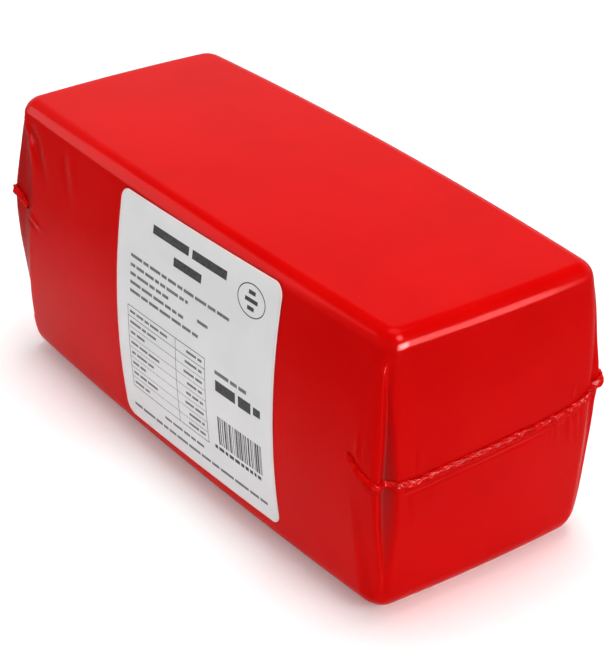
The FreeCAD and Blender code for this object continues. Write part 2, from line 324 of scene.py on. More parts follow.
def ear_creases(z, end, side):
    """Film distances of the six creases and their heights off the plain rounding."""
    ear = EARS[end, side]
    place = ear_place(z, ear)
    table = NEAR_EAR if end > 0 else FAR_EAR
    rows = [np.interp(place, table[:, 0], column) for column in table[:, 1:].T]
    rows[0] = rows[0] + ear["shift"] * (1 - place**4)
    fold, brow, crest, edge = rows[len(CREASES):]
    rise = np.interp(place, RISE_PLACES, ear["rise"])
    flat = np.zeros_like(place)
    heights = [flat, fold * ear["fold"], brow * rise, crest * rise, edge * rise, flat]
    return np.stack(rows[:len(CREASES)], axis=-1), np.stack(heights, axis=-1)


print("ears:", len(EARS), "with creases:", len(CREASES))

# %% How an ear moves the film
SECTION_EASE = 0.2                  # how softly a crease turns, in millimetres
FADE_BELOW, FADE_ABOVE = 3.0, 2.0   # an ear fades out past its low and upper points


def ear_section(w, z, end, side):
    """Where the film is drawn to: straight lines between the creases of its level."""
    lines, heights = ear_creases(z, end, side)
    knots, outward = plain_section(lines, z[:, None], end)
    knots = knots + heights[..., None] * outward
    ear = EARS[end, side]
    if ear["dip"] is not None:
        dip = ear["dip"] * (1 - abs(ear_place(z, ear)))
        middle = (knots[:, CREST] + knots[:, SIDE]) / 2
        knots[:, EDGE] = middle + dip[:, None] * outward[:, EDGE]
    drawn = plain_section(w, z, end)[0]
    for i in range(len(CREASES) - 1):
        left, right = lines[:, i], lines[:, i + 1]
        part = ((w - left) / np.maximum(right - left, 1e-6))[:, None]
        inside = ((w >= left) & (w < right))[:, None]
        drawn = np.where(inside, knots[:, i] + part * (knots[:, i + 1] - knots[:, i]), drawn)
    return drawn


def ear_shift(w, z, end, side):
    """How far an ear moves the film in its level, eased over each crease."""
    eased = (
        ear_section(w - SECTION_EASE, z, end, side)
        + 2 * ear_section(w, z, end, side)
        + ear_section(w + SECTION_EASE, z, end, side)
    ) / 4
    ear = EARS[end, side]
    low, top = ear["low"], ear["top"]
    show = np.interp(z, (low - FADE_BELOW, low, top, top + FADE_ABOVE), (0, 1, 1, 0))
    return (eased - plain_section(w, z, end)[0]) * show[:, None]


crest_move = ear_shift(np.array([50.4]), np.array([60.0]), 1, -1)[0]
print("the near crest stands out by (mm):", round(float(np.hypot(*crest_move)), 2))

# %% [markdown]
# ## Pleats, drag lines and the lip
#
# Shrunk film is never smooth near a seal.  Short pleats run away from the bead, long
# drag lines come down from the top corners, and the bag's cut lip shows as a low
# ridge under the near bead.  Each is one line on the unrolled film with a height and a
# width: positive for a ridge, negative for a groove.  They are real moves of the
# surface, because a painted bump would vanish in the outline.

# %% The line of the near seal, and its lip
# Film distance, height, and the size of the bead at each point.
NEAR_BEAD = np.array([
    (-62.0, 65.6, 0.55), (-59.4, 63.6, 0.9), (-57.0, 61.9, 1.05), (-54.2, 60.4, 1.0),
    (-51.4, 58.9, 1.1), (-49.6, 57.9, 1.2), (-47.6, 57.2, 0.8), (-45.4, 56.9, 0.75),
    (-43.0, 56.4, 1.05), (-40.0, 55.6, 1.3), (-37.0, 55.3, 1.25), (-32.3, 55.4, 1.0),
    (-24.1, 56.2, 0.95), (-15.7, 56.7, 1.0), (-7.0, 57.0, 0.95), (6.2, 57.7, 1.0),
    (20.0, 58.3, 0.95), (28.0, 58.5, 1.0), (34.3, 59.0, 1.0), (40.0, 60.4, 1.05),
    (43.0, 61.6, 1.05), (46.5, 63.6, 1.1), (49.8, 65.2, 1.3), (53.0, 66.5, 1.05),
    (57.0, 67.9, 0.95), (61.0, 69.4, 0.6),
])
LIP_BELOW, LIP_CREASE_BELOW = 3.2, 1.1      # the lip below the bead, its crease below it
LIP_FROM, LIP_TO = -42.0, 45.0
NEAR_LIP = [(w, z - LIP_BELOW) for w, z, _ in NEAR_BEAD if LIP_FROM < w < LIP_TO]
NEAR_LIP_CREASE = [(w, z - LIP_CREASE_BELOW) for w, z in NEAR_LIP]
print("points on the near lip:", len(NEAR_LIP))

# %% Pleats and drag lines
# Each line: end, height, half width, then its points (w, z); w < 0 is the -Y side.
FOLD_LINES = (
    # the lip below the near bead, and the crease under it
    (1, 0.34, 0.55, *NEAR_LIP),
    (1, -0.20, 0.6, *NEAR_LIP_CREASE),
    # near end, above the bead
    (1, 0.30, 0.7, (-33.3, 58.0), (-33.6, 64.0), (-33.6, 72.0)),
    (1, -0.22, 0.8, (-34.6, 58.0), (-34.9, 64.0), (-34.9, 71.0)),
    (1, 0.20, 0.8, (35.3, 62.0), (36.0, 66.0), (36.8, 71.0)),
    (1, -0.18, 0.8, (36.9, 62.0), (37.6, 66.0), (38.2, 70.0)),
    (1, 0.14, 0.8, (-22.0, 58.5), (-21.2, 63.0), (-20.0, 69.0)),
    (1, 0.14, 0.9, (12.0, 60.5), (12.6, 65.0), (12.8, 72.0)),
    (1, 0.12, 0.9, (27.0, 62.5), (27.6, 67.0), (28.4, 73.0)),
    # near end, below the bead
    (1, 0.30, 0.7, (-36.3, 52.5), (-35.2, 45.0), (-33.6, 38.0)),
    (1, -0.22, 0.8, (-37.8, 52.5), (-36.8, 45.0), (-35.4, 39.0)),
    (1, 0.26, 0.7, (-33.6, 46.0), (-34.6, 39.0), (-35.6, 33.0)),
    (1, 0.24, 0.7, (-26.4, 53.0), (-27.4, 47.0), (-28.4, 41.0)),
    (1, 0.22, 0.7, (24.2, 55.5), (23.2, 50.0), (22.6, 46.0)),
    (1, 0.26, 0.7, (27.2, 56.5), (26.4, 51.0), (25.6, 46.0)),
    (1, 0.32, 0.7, (28.4, 57.5), (29.4, 51.0), (30.2, 44.0)),
    (1, 0.34, 0.8, (34.3, 58.5), (35.6, 51.0), (37.0, 42.0)),
    (1, -0.20, 0.7, (32.6, 58.0), (33.8, 51.0), (35.2, 43.0)),
    (1, 0.34, 0.7, (38.2, 59.0), (39.2, 51.0), (40.4, 43.0)),
    (1, 0.30, 0.6, (41.1, 59.6), (42.0, 52.0), (43.2, 45.0)),
    (1, 0.16, 0.8, (8.0, 54.0), (8.4, 50.0), (8.4, 44.0)),
    (1, 0.16, 0.8, (-12.0, 53.0), (-12.4, 48.0), (-13.0, 43.0)),
    # near ears, on the side faces
    (1, 0.45, 0.9, (-56.6, 64.5), (-56.4, 70.0), (-56.0, 78.5)),
    (1, -0.40, 0.8, (-55.0, 64.0), (-54.8, 70.0), (-54.8, 77.0)),
    (1, 0.22, 0.8, (-45.9, 102.0), (-48.3, 98.6), (-50.3, 95.0), (-51.6, 90.0)),
    (1, -0.18, 1.2, (-50.0, 103.0), (-54.0, 98.0), (-57.0, 91.0)),
    (1, 0.35, 0.9, (57.0, 66.0), (57.2, 72.0), (56.6, 80.0)),
    # far end, drag lines from the top corner and the notch beside the bead
    (-1, -0.85, 2.4, (-53.9, 104.7), (-63.3, 100.2), (-70.5, 92.7), (-77.7, 84.0)),
    (-1, 0.35, 2.2, (-57.0, 101.0), (-63.0, 94.0), (-68.0, 86.0)),
    (-1, 0.55, 1.0, (-61.5, 68.0), (-68.4, 66.6), (-75.0, 65.0)),
    (-1, -0.50, 1.2, (-61.0, 65.6), (-67.0, 64.2), (-72.0, 63.0)),
    (-1, -0.50, 2.2, (-84.0, 104.0), (-91.0, 94.0), (-96.0, 84.0)),
    (-1, 0.32, 2.2, (-90.0, 104.0), (-97.0, 95.0), (-102.0, 84.0)),
    (-1, -0.30, 2.2, (53.9, 104.7), (62.0, 99.0), (69.0, 91.0)),
    (-1, 0.40, 1.0, (61.5, 67.0), (68.0, 65.6), (73.0, 64.0)),
    # far end face, pleats beside the bead
    (-1, 0.30, 0.8, (-34.0, 73.0), (-34.6, 80.0), (-34.0, 86.0)),
    (-1, 0.28, 0.8, (-29.0, 69.0), (-28.4, 62.0), (-27.0, 55.0)),
    (-1, 0.30, 0.8, (31.0, 68.0), (32.0, 61.0), (33.6, 54.0)),
    (-1, 0.26, 0.8, (36.0, 67.5), (37.6, 60.0), (38.6, 53.0)),
    (-1, 0.22, 0.8, (12.0, 73.0), (12.6, 79.0), (12.0, 84.0)),
)
print("pleats and drag lines:", len(FOLD_LINES))

# %% The height of the fold lines
LINE_START = 4.0           # a line grows over this length at its start
LINE_TAIL = 0.6            # and dies away over this share of its length at its end


def line_profile(w, z, points, half_wide):
    """A soft rounded ridge along a chain of points, fading out towards both ends.

    The height is a bell of the distance to the chain, times a ramp of how far along
    the chain the nearest place is.
    """
    nearest, travel = np.full(w.shape, 1e9), np.zeros(w.shape)
    gone = 0.0
    for (w0, z0), (w1, z1) in zip(points[:-1], points[1:]):
        length = math.hypot(w1 - w0, z1 - z0)
        part = ((w - w0) * (w1 - w0) + (z - z0) * (z1 - z0)) / length**2
        part = np.clip(part, 0, 1)
        away = np.hypot(w - w0 - part * (w1 - w0), z - z0 - part * (z1 - z0))
        travel = np.where(away < nearest, gone + part * length, travel)
        nearest = np.minimum(nearest, away)
        gone += length
    tail = np.clip((gone - travel) / (LINE_TAIL * gone), 0, 1)
    return np.exp(-((nearest / half_wide) ** 2)) * np.clip(travel / LINE_START, 0, 1) * tail


def fold_height(w, z, end):
    """All pleats and drag lines of one end, added up, as a move outwards."""
    total = np.zeros_like(w)
    for where, height, half_wide, *points in FOLD_LINES:
        if where == end:
            total += height * line_profile(w, z, points, half_wide)
    return total


on_lip = [np.array([value]) for value in NEAR_LIP[len(NEAR_LIP) // 2]]
print("height of the lip (mm):", round(float(fold_height(*on_lip, 1)[0]), 2))

# %% The whole film surface
SIDE_REACH = 60.0          # ears and drag lines end before this place on a side
ON_FACE = 1e-6             # a point this close to a face of the plain box is on it


def round_corner(p, end, side, live=True):
    """The box points round one upright edge: which they are, and their t and z.

    They lie on one half of the end face and on the nearby part of the side face.
    """
    on_end = (p[:, 0] * end > HALF_LENGTH - ON_FACE) & (p[:, 1] * side > 0)
    on_side = (p[:, 1] * side > FLAT_HALF_WIDTH - ON_FACE) & (p[:, 0] * end > SIDE_REACH)
    pick = np.flatnonzero((on_end | on_side) & live)
    x, y, z = abs(p[pick]).T
    return pick, np.where(on_end[pick], FLAT_HALF_WIDTH - y, x - HALF_LENGTH), z


def film(p):
    """Points on the plain box become points on the folded film.

    Near an end, each point is read as film distance and height.  The ear of its
    corner shifts it in its own level, and the fold lines move it outwards.
    """
    surface = rounded_bar(p)
    upright = np.interp(p[:, 2], (0, BASE_RADIUS, HEIGHT - TOP_RADIUS, HEIGHT), (0, 1, 1, 0))
    for end, side in EARS:
        pick, t, z = round_corner(p, end, side, upright > 0)
        w = film_distance(t, z, end)
        shift = ear_shift(w, z, end, side)
        outward = plain_section(w, z, end)[1]
        lift = fold_height(w * side, z, end)[:, None] * outward
        surface[pick, :2] += (shift + lift) * upright[pick, None] * np.array([end, side])
    return surface


def on_film(w, z, end, lift=0.0):
    """Places on the film by film distance and height, raised by lift along x and y."""
    side = np.where(w < 0, -1.0, 1.0)
    t = box_place(abs(w), z, end)
    x = end * np.where(t >= 0, HALF_LENGTH, HALF_LENGTH + t)
    y = side * np.where(t >= 0, FLAT_HALF_WIDTH - t, FLAT_HALF_WIDTH)
    place = film(np.stack([x, y, z], axis=-1))
    outward = plain_section(abs(w), z, end)[1] * np.stack([np.full(w.shape, end), side], -1)
    place[:, :2] += lift * outward
    return place


print("film at the near seal (mm):", on_film(*NEAR_BEAD[14:15, :2].T, 1)[0].round(1))

# %% [markdown]
# ## How deep the film is folded
#
# In the folds the red is darkened as painted shade, standing in for the shade in their
# hollows, and where film lies double the red is a little deeper and the gloss is dull.
# A painted mask would have to be lined up with the folds by hand, so the depth is
# measured on the surface itself and kept with each point of the mesh, where the film's
# material reads it.

# %% Depth of the folds
CORE_END, CORE_SIDE = HALF_LENGTH - 12.0, 38.0   # an inner block, well inside the film
# painted shade: a far ear's flap is given this depth so that the film's material darkens it
FLAP_SHADE_DEPTH = 1.3                                 # what a far ear's double flap counts as
FLAP_SHARE = 0.96                                # how much of the way to its side crease
FLAP_PLACES = (-1.0, -0.8, 0.8, 1.0)             # and where on the ear it fades


def fold_depth(p):
    """How deep each point lies in a fold, in millimetres below the plain rounding.

    The move from the plain bar to the folded film is measured along the direction
    that leads out from an inner block, and turned round.  The flap of a far ear,
    between its crest and its side crease, is given a set depth too, which the film's
    material turns into painted shade.
    """
    plain = rounded_bar(p)[:, :2]
    outward = plain - np.clip(plain, (-CORE_END, -CORE_SIDE), (CORE_END, CORE_SIDE))
    outward = outward / np.maximum(np.linalg.norm(outward, axis=1, keepdims=True), 1e-6)
    depth = -np.sum((film(p)[:, :2] - plain) * outward, axis=1)
    for side in (1, -1):
        pick, t, z = round_corner(p, -1, side)
        lines, _ = ear_creases(z, -1, side)
        crest, last = lines[:, CREST], lines[:, SIDE]
        part = (film_distance(t, z, -1) - crest) / np.maximum(last - crest, 1e-6)
        tent = np.interp(ear_place(z, EARS[-1, side]), FLAP_PLACES, (0, 1, 1, 0))
        flap = np.where((part > 0) & (part < FLAP_SHARE), FLAP_SHADE_DEPTH * tent, -np.inf)
        depth[pick] = np.maximum(depth[pick], flap)
    return depth


# the flap's set depth, which the film's material turns into painted shade
print("deepest a double flap counts (mm):", FLAP_SHADE_DEPTH)

# %% [markdown]
# ## The film as one closed mesh
#
# Six grids, one for each face of the plain box, share their edge points, so that
# welding equal points gives one closed skin.  The grid lines are close together at
# the roundings, the ears and the bead, and wide apart where the film is calm.

# %% Grid lines
def steps(*knots):
    """Positions between knots (place, step after it), evenly divided, ends left out."""
    spots = [
        np.linspace(a, b, max(int(round((b - a) / step)), 1), endpoint=False)
        for (a, step), (b, _) in zip(knots[:-1], knots[1:])
    ]
    return np.concatenate(spots)[1:]


def round_steps(radius, count):
    """Distances from a box edge that divide the quarter circle there evenly."""
    return radius * (1 - np.tan(np.linspace(QUARTER / 2, 0, count + 1)))


# Columns of the ear: nominal film distances, and how many columns lie between them.
# The column nearest the box's sharp edge is put on it.
EAR_COLUMNS = np.array([38.0, 43.0, 46.5, 48.2, 50.0, 53.6, 59.5, 72.0])
EAR_COUNTS = (8, 8, 6, 6, 7, 7, 12)
COLUMN_LEVEL = 62.0
nominal = box_place(EAR_COLUMNS, COLUMN_LEVEL, 1)
columns = np.concatenate([
    np.linspace(a, b, n, endpoint=False)
    for a, b, n in zip(nominal[:-1], nominal[1:], EAR_COUNTS)
])
columns = np.append(columns, nominal[-1])
columns[np.argmin(abs(columns))] = 0.0
end_columns = FLAT_HALF_WIDTH - columns[columns > -NOT_ZERO]
side_columns = HALF_LENGTH + columns[columns < NOT_ZERO][::-1]
inner_end = steps((-end_columns[0], 0.8), (-20, 1.5), (20, 0.8), (end_columns[0], 0))
inner_side = steps((-side_columns[0], 1.2), (-60, 5.0), (80, 2.0), (side_columns[0], 0))
grid_x = np.concatenate([-side_columns[::-1], inner_side, side_columns])
grid_y = np.concatenate([-end_columns[::-1], inner_end, end_columns])
grid_z = np.concatenate([
    round_steps(BASE_RADIUS, 8),
    steps((BASE_RADIUS, 1.6), (40, 0.9), (50, 0.5), (67, 0.8), (78, 1.3), (HEIGHT - TOP_RADIUS, 0)),
    HEIGHT - round_steps(TOP_RADIUS, 9)[::-1],
])
print("grid lines:", len(grid_x), len(grid_y), len(grid_z))

# %% Columns that follow the creases
FOLLOW_LOW, FOLLOW_HIGH = BASE_RADIUS + 4, HEIGHT - TOP_RADIUS - 3


def follow_creases(p):
    """Slide box points sideways so that the ear's columns lie along its creases.

    Between two nominal columns a point keeps its share of the way, but between the
    creases that those columns stand for.
    """
    p = p.copy()
    fade = np.interp(p[:, 2], (0, FOLLOW_LOW, FOLLOW_HIGH, HEIGHT), (0, 1, 1, 0))
    for end, side in EARS:
        pick, t, z = round_corner(p, end, side, fade > 0)
        lines = box_place(ear_creases(z, end, side)[0], z[:, None], end)
        lines = nominal[1:-1] + (lines - nominal[1:-1]) * fade[pick, None]
        first, last = (np.full((len(pick), 1), nominal[i]) for i in (0, -1))
        lines = np.concatenate([first, lines, last], axis=1)
        moved = t.copy()
        for i, (before, after) in enumerate(zip(nominal[:-1], nominal[1:])):
            part = (t - before) / (after - before)
            slid = lines[:, i] + part * (lines[:, i + 1] - lines[:, i])
            moved = np.where((part > 0) & (part <= 1), slid, moved)
        p[pick, 0] = end * (HALF_LENGTH + np.minimum(moved, 0))
        p[pick, 1] = side * (FLAT_HALF_WIDTH - np.maximum(moved, 0))
    return p


print("creases are followed between heights (mm):", FOLLOW_LOW, "and", round(FOLLOW_HIGH, 1))

# %% Grids, quads and welding
WELD_WITHIN = 1e-4


def face_grids():
    """The six faces of the plain box: points, grid shape and whether to turn over."""
    for a, b, axis, place, over in (
        (grid_y, grid_z, 0, HALF_LENGTH, False),
        (grid_y, grid_z, 0, -HALF_LENGTH, True),
        (grid_x, grid_z, 1, -FLAT_HALF_WIDTH, False),
        (grid_x, grid_z, 1, FLAT_HALF_WIDTH, True),
        (grid_x, grid_y, 2, HEIGHT, False),
        (grid_x, grid_y, 2, 0.0, True),
    ):
        first, second = np.meshgrid(a, b, indexing="ij")
        values = [first.ravel(), second.ravel()]
        values.insert(axis, np.full(first.size, place))
        yield np.stack(values, axis=1), first.shape, over


def grid_quads(shape, over=False, start=0):
    """Four-sided faces between neighbouring points of a grid."""
    n = np.arange(shape[0] * shape[1]).reshape(shape) + start
    quads = np.stack([n[:-1, :-1], n[1:, :-1], n[1:, 1:], n[:-1, 1:]], -1).reshape(-1, 4)
    return quads[:, ::-1] if over else quads


def weld(points, quads):
    """Join points that share a place, and drop faces that have shrunk to a line."""
    cells = np.round(points / WELD_WITHIN).astype(np.int64)
    _, first, back = np.unique(cells, axis=0, return_index=True, return_inverse=True)
    quads = back.reshape(-1)[quads]
    whole = np.all(quads != np.roll(quads, 1, axis=1), axis=1)
    return points[first], quads[whole], first


print("points on the six faces:", sum(len(points) for points, _, _ in face_grids()))


# %% Turning arrays into an object
def make_piece(name, points, faces, material, smooth=True):
    """A mesh object from millimetre points and four-sided faces, riding on the bar."""
    mesh = bpy.data.meshes.new(name)
    mesh.vertices.add(len(points))
    mesh.vertices.foreach_set("co", (points * MM).astype(np.float32).ravel())
    mesh.loops.add(faces.size)
    mesh.loops.foreach_set("vertex_index", faces.astype(np.int32).ravel())
    mesh.polygons.add(len(faces))
    starts = np.arange(0, faces.size, faces.shape[1], dtype=np.int32)
    mesh.polygons.foreach_set("loop_start", starts)
    mesh.polygons.foreach_set("use_smooth", np.full(len(faces), smooth))
    mesh.update(calc_edges=True)
    mesh.validate()
    mesh.materials.append(material)
    piece = link(bpy.data.objects.new(name, mesh))
    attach(piece, "root")
    print(name + ":", len(points), "points,", 2 * len(faces), "triangles")
    return piece


# %% [markdown]
# ## Materials
#
# Shrink film is a clear red skin pulled tight over something smooth: strong colour,
# a soft mirror on top, and reflections that break up a little because the film is
# never quite even.  One node group gives that unevenness to every material here.  It
# mixes a slow swell with a fine grain, and puts out a height and a mask.

# %% Setting nodes by name
def set_node(tree, made, settings):
    """Give a node its settings by name, with _ for a space.

    One in small letters is the node's own choice, such as its data type.  The others
    are its inputs, and each gets a plain value or the output that feeds it.
    """
    for name, given in settings.items():
        if name.islower():
            setattr(made, name, given)
        elif isinstance(given, bpy.types.NodeSocket):
            tree.links.new(given, made.inputs[name.replace("_", " ")])
        else:
            made.inputs[name.replace("_", " ")].default_value = given


def node(tree, kind, place, **settings):
    """A new node at a place on the sheet."""
    made = tree.nodes.new(kind)
    made.location = place
    set_node(tree, made, settings)
    return made


# %% The unevenness that every finish shares
def build_unevenness():
    """Group: slow swell plus fine grain, as a height and as a 0..1 mask."""
    group = bpy.data.node_groups.new("uneven_surface", "ShaderNodeTree")
    for name, usual in (("Swell Scale", 30.0), ("Grain Scale", 400.0), ("Grain Share", 0.2)):
        socket = group.interface.new_socket(name, in_out="INPUT", socket_type="NodeSocketFloat")
        socket.default_value = usual
    group.interface.new_socket("Place", in_out="INPUT", socket_type="NodeSocketVector")
    group.interface.new_socket("Height", in_out="OUTPUT", socket_type="NodeSocketFloat")
    group.interface.new_socket("Mask", in_out="OUTPUT", socket_type="NodeSocketFloat")
    given = node(group, "NodeGroupInput", (-600, 0)).outputs
    swell = node(
        group, "ShaderNodeTexNoise", (-300, 150), Detail=3.0, Roughness=0.5,
        Vector=given["Place"], Scale=given["Swell Scale"],
    ).outputs["Fac"]
    grain = node(
        group, "ShaderNodeTexNoise", (-300, -150), Detail=4.0, Roughness=0.6,
        Vector=given["Place"], Scale=given["Grain Scale"],
    ).outputs["Fac"]
    both = node(group, "ShaderNodeMix", (0, 0), Factor=given["Grain Share"], A=swell, B=grain)
    node(group, "NodeGroupOutput", (400, 0), Height=both.outputs["Result"], Mask=swell)
    return group


uneven_surface = build_unevenness()
print("shared group:", uneven_surface.name, "with", len(uneven_surface.nodes), "nodes")

# %% Helpers for finishes
REFRACTION = 1.45          # film, paper and ink bend light about as much as each other


def new_material(name, **shader):
    """A material with a Principled BSDF, its fixed numbers set on its own sockets."""
    material = bpy.data.materials.new(name)
    material.use_nodes = True
    tree = material.node_tree
    bsdf = tree.nodes["Principled BSDF"]
    set_node(tree, bsdf, dict(IOR=REFRACTION, **shader))
    return material, tree, bsdf


def add_unevenness(tree, swell, grain, share):
    """The shared group's outputs, reading the object's own coordinates."""
    place = node(tree, "ShaderNodeTexCoord", (-1100, 0))
    return node(
        tree, "ShaderNodeGroup", (-850, 0), node_tree=uneven_surface,
        Place=place.outputs["Object"], Swell_Scale=swell, Grain_Scale=grain, Grain_Share=share,
    ).outputs


def tint(tree, mask, low, high):
    """A colour that drifts between two colours by a mask."""
    ramp = node(tree, "ShaderNodeValToRGB", (-450, 200), Fac=mask)
    for element, position, colour in zip(ramp.color_ramp.elements, (0.35, 0.65), (low, high)):
        element.position, element.color = position, (*colour, 1)
    return ramp.outputs["Color"]


def spread(tree, mask, low, high):
    """A number that drifts between two values by a mask."""
    change = node(
        tree, "ShaderNodeMapRange", (-450, -50), Value=mask, To_Min=low, To_Max=high
    )
    return change.outputs["Result"]


def emboss(tree, height, strength, distance):
    """Fine relief, too small for the mesh, with its depth in millimetres."""
    return node(
        tree, "ShaderNodeBump", (-250, -300), Height=height, Strength=strength,
        Distance=distance * MM,
    ).outputs["Normal"]


def uneven_finish(name, level, scales, colours, gloss, relief, gloss_by="Mask"):
    """A finish whose colour, roughness and fine relief follow the shared unevenness.

    level is how strong the gloss is; scales are the group's swell, grain and share of
    grain; colours and gloss are pairs to drift between; relief is strength and depth.
    """
    material, tree, bsdf = new_material(name, Specular_IOR_Level=level)
    uneven = add_unevenness(tree, *scales)
    set_node(tree, bsdf, dict(
        Base_Color=tint(tree, uneven["Mask"], *colours),
        Roughness=spread(tree, uneven[gloss_by], *gloss),
        Normal=emboss(tree, uneven["Height"], *relief),
    ))
    print("finish:", name)
    return material


# %% Red film
FILM_RED_DEEP, FILM_RED_BRIGHT = (0.54, 0.0010, 0.0008), (0.58, 0.0016, 0.0012)
FILM_ROUGHNESS = 0.11, 0.19
# In the folds two layers of crumpled film lie on each other, so the gloss is duller and
# the red a little deeper; most of the darkening there is painted shade of the hollows.
FOLD_SHADE_RED, FOLD_ROUGHNESS = (0.16, 0.0004, 0.0003, 1), 0.6
FOLD_STARTS, FOLD_FULL, FOLD_MOST = 0.05, 2.2, 0.8

film_finish, film_tree, film_shader = new_material(
    "red_film", Specular_IOR_Level=0.024, Metallic=0.012
)
film_uneven = add_unevenness(film_tree, 26.0, 900.0, 0.06)
depth_read = node(film_tree, "ShaderNodeAttribute", (-850, 500), attribute_name="fold_depth")
in_fold = node(
    film_tree, "ShaderNodeMapRange", (-650, 500), Value=depth_read.outputs["Fac"],
    From_Min=FOLD_STARTS, From_Max=FOLD_FULL, To_Max=FOLD_MOST,
).outputs["Result"]
# painted shade: by the depth of each fold the red is darkened, standing in for the shade in its
# hollow
fold_shade = node(
    film_tree, "ShaderNodeMix", (-200, 350), data_type="RGBA", Factor=in_fold,
    A=tint(film_tree, film_uneven["Mask"], FILM_RED_DEEP, FILM_RED_BRIGHT), B=FOLD_SHADE_RED,
)
dull = node(
    film_tree, "ShaderNodeMix", (-200, -100), Factor=in_fold,
    A=spread(film_tree, film_uneven["Mask"], *FILM_ROUGHNESS), B=FOLD_ROUGHNESS,
)
set_node(film_tree, film_shader, dict(
    Base_Color=fold_shade.outputs["Result"],
    Roughness=dull.outputs["Result"],
    Normal=emboss(film_tree, film_uneven["Height"], 0.5, 0.25),
))
print("film colour:", FILM_RED_DEEP, "to", FILM_RED_BRIGHT)

# %% The film piece
film_points, film_quads, film_depths, film_start = [], [], [], 0
for box_points, face_shape, turned_over in face_grids():
    followed = follow_creases(box_points)
    film_points.append(film(followed))
    film_depths.append(fold_depth(followed))
    film_quads.append(grid_quads(face_shape, turned_over, film_start))
    film_start += len(box_points)
skin_points, skin_quads, kept = weld(np.concatenate(film_points), np.concatenate(film_quads))
skin_depths = np.concatenate(film_depths)[kept]
film_skin = make_piece("film_skin", skin_points, skin_quads, film_finish)
depth_kept = film_skin.data.attributes.new("fold_depth", "FLOAT", "POINT")
depth_kept.data.foreach_set("value", skin_depths.astype(np.float32))
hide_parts("wrapped_bar")
print("deepest fold (mm):", round(float(skin_depths.max()), 2))

# %% [markdown]
# ## The seal beads
#
# The bag is welded and cut across each end, and the shrinking film draws the weld up
# into a crinkled rope.  The rope follows one line on the unrolled film: along the
# side, up over the ear, down into the fold, across the end and over the other ear.  A
# curve with a bevel would be a smooth tube, so the rope is a closed profile carried
# along the line, and its radius is crumpled by a sum of slanting waves.

# %% The line of the far seal, and the rope's size
FAR_BEAD = np.array([
    (-61.5, 69.6, 0.5), (-58.0, 71.4, 0.9), (-54.5, 72.6, 1.1), (-50.6, 73.4, 1.3),
    (-47.0, 72.6, 1.0), (-43.0, 72.0, 1.1), (-32.0, 71.6, 1.0), (-18.0, 71.3, 0.95),
    (0.0, 70.9, 1.0), (18.0, 70.6, 0.95), (33.0, 70.2, 1.05), (43.0, 69.8, 1.15),
    (47.0, 69.9, 1.0), (50.2, 70.0, 1.2), (54.0, 68.8, 1.05), (58.0, 67.4, 0.95),
    (62.0, 65.8, 0.55),
])
ROPE_TALL, ROPE_PROUD = 1.85, 1.15     # half height and half thickness, millimetres
ROPE_SINK = 0.35                       # how far the rope's middle lies off the film
ROPE_END = 1.6                         # its ends are rounded over this length
ROPE_STEP, ROPE_ROUND = 0.32, 26       # distance between rings, points on a ring


def ease(rows, times):
    """Even out a chain of points in place: each becomes a mean with its neighbours."""
    for _ in range(times):
        rows[1:-1] = (rows[:-2] + 2 * rows[1:-1] + rows[2:]) / 4
    return rows


def resample(points, step):
    """Even places along a chain of points, with its corners eased by averaging."""
    gone = np.concatenate([[0], np.cumsum(np.hypot(*np.diff(points[:, :2], axis=0).T))])
    even = np.linspace(0, gone[-1], int(gone[-1] / step) + 1)
    return ease(np.stack([np.interp(even, gone, column) for column in points.T], 1), 10), even


print("rings on the far rope:", len(resample(FAR_BEAD, ROPE_STEP)[1]))

# %% The rope's crinkles
# Waves on the rope: length along it, turns round it, height as a share of its size.
CRINKLES = ((7.1, 4, 0.10), (4.7, -6, 0.08), (3.1, 5, 0.08), (2.1, -7, 0.07), (1.3, 3, 0.06))
WANDER, WANDER_LENGTH = 0.9, 4.3       # the waves wander sideways along the rope
SWELL, SWELL_LENGTH = 0.08, 3.1        # and the rope is thicker here and there
HALF_TURN, FULL_TURN = 3.14, 6.28


def crumple(travel, angle, seed):
    """Crinkles of a rope: slanting waves, sharpened, plus slow swelling along it.

    Each wave is the absolute value of a sine of distance along plus turns round, so
    its crests are narrow and its hollows wide, as in pinched film.
    """
    chance = np.random.default_rng(seed)
    total = np.zeros(np.broadcast(travel, angle).shape)
    for length, turns, height in CRINKLES:
        shift, bend = chance.uniform(0, FULL_TURN, 2)
        slow = WANDER * np.sin(travel / WANDER_LENGTH + bend)
        slant = travel * HALF_TURN / length + turns * angle / 2
        total += height * (1 - 2 * abs(np.sin(slant + shift + slow)))
    total += SWELL * np.sin(travel / SWELL_LENGTH + chance.uniform(0, FULL_TURN))
    return total


print("crinkle waves:", len(CRINKLES))


# %% The two ropes
def unit(vectors):
    """Vectors at length one."""
    return vectors / np.maximum(np.linalg.norm(vectors, axis=-1, keepdims=True), NOT_ZERO)


